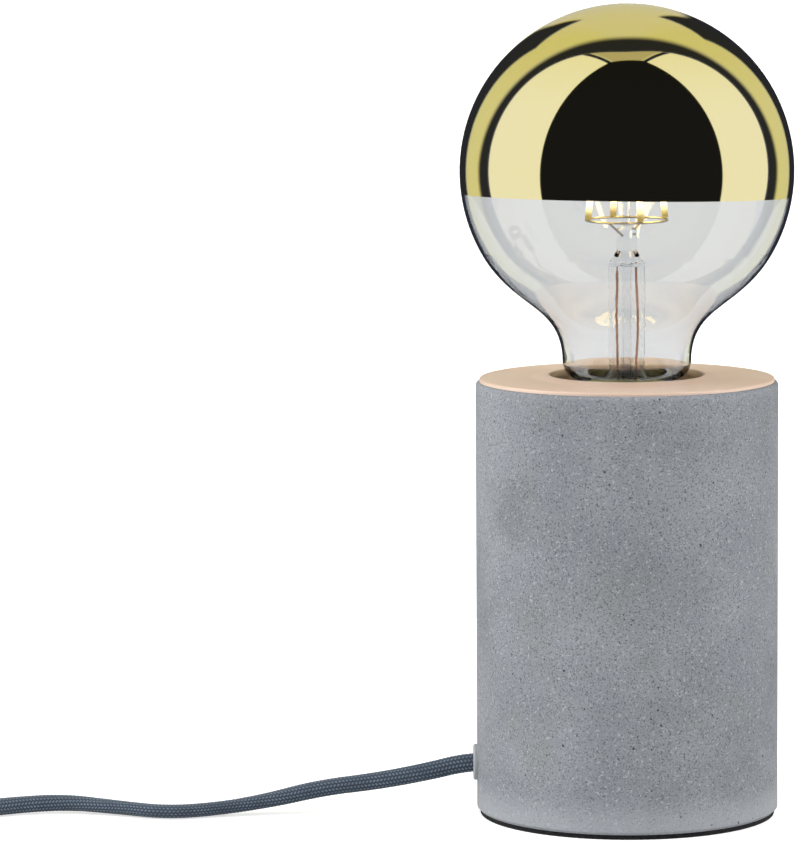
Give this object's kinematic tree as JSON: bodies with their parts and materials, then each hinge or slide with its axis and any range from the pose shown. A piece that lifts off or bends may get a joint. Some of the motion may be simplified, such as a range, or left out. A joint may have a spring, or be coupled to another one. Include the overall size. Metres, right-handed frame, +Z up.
{
  "type": "bare bulb table lamp",
  "caption": "Concrete cylinder table lamp with a copper-plated lid, a sunken lampholder, a crown-mirrored globe bulb, and a textile lead with in-line switch and plug.",
  "frame": {"origin": "Centre of the lamp's foot, on the surface it stands on", "axes": "+Z up along the lamp's own axis; the cord leaves the base towards -X; the pictured side faces -Y"},
  "size_m": [0.4131, 0.1129, 0.2321],
  "materials": {
    "concrete": "fair-faced cast concrete",
    "copper": "satin copper plate",
    "foam": "matt closed-cell foam",
    "zinc_steel": "zinc plated",
    "brass": "plain brass",
    "clear_sleeve": "translucent grey",
    "white_nylon": "moulded",
    "braid": "grey textile braid",
    "brown_insulation": "smooth",
    "blue_insulation": "smooth",
    "black_bakelite": "pressed bakelite",
    "ceramic": "unglazed steatite",
    "clear_glass": "clear blown glass",
    "gold_mirror": "gold mirror coat",
    "nickel_wire": "drawn wire",
    "filament": "phosphor coated filament, lit",
    "cap_brass": "plain brass, dulled",
    "black_glass": "black vitrite",
    "board": "white circuit board",
    "black_plastic": "moulded, satin",
    "plated_pin": "nickel plated brass"
  },
  "bodies": {
    "base": {"concrete_body": "concrete", "copper_lid": "copper", "foam_pad": "foam", "bottom_plate": "zinc_steel", "plate_screws": "zinc_steel", "plate_bushes": "brass", "cord_grommet": "clear_sleeve", "clamp_base": "white_nylon", "clamp_bar": "white_nylon", "clamp_screws": "zinc_steel", "inner_cord": "braid", "live_wire": "brown_insulation", "neutral_wire": "blue_insulation", "threaded_tube": "zinc_steel", "tube_nuts": "zinc_steel", "tube_washers": "zinc_steel", "holder_dome": "black_bakelite", "holder_skirt": "black_bakelite", "holder_ceramic": "ceramic", "contact_shell": "brass", "centre_contact": "brass", "terminal_blocks": "brass", "terminal_screws": "zinc_steel", "cord_to_switch": "braid", "switch_base": "black_plastic", "switch_cover": "black_plastic", "switch_contacts": "brass", "switch_wires": "brown_insulation", "switch_screws": "zinc_steel", "cord_to_coil": "braid", "cord_coil": "braid", "cord_to_plug": "braid", "plug_body": "black_plastic", "plug_pins": "plated_pin"},
    "bulb_contact": {"cap_tip": "cap_brass"},
    "bulb": {"cap_shell": "cap_brass", "cap_insulator": "black_glass", "driver_board": "board", "bulb_glass": "clear_glass", "mirror_coat": "gold_mirror", "bulb_stem": "clear_glass", "exhaust_tube": "clear_glass", "filament_hoop": "nickel_wire", "led_filaments": "filament", "filament_arms": "nickel_wire", "lead_wires": "nickel_wire"},
    "rocker": {"switch_rocker": "black_plastic"}
  },
  "joints": [
    {"name": "bulb_rise", "type": "slide", "parent": "base", "child": "bulb_contact", "axis": [0, 0, 1], "range_m": [0, 0.0146]},
    {"name": "bulb_turn", "type": "hinge", "parent": "bulb_contact", "child": "bulb", "pos_m": [0, 0, 0.11], "axis": [0, 0, 1], "range_deg": [0, 1440]},
    {"name": "switch_rock", "type": "hinge", "parent": "base", "child": "rocker", "pos_m": [-0.248, -0.019, 0.013], "axis": [0, 1, 0], "range_deg": [0, 18]}
  ],
  "couplings": [
    {"joint": "bulb_rise", "follows": "bulb_turn", "m_per_rad": 0.00057757}
  ]
}
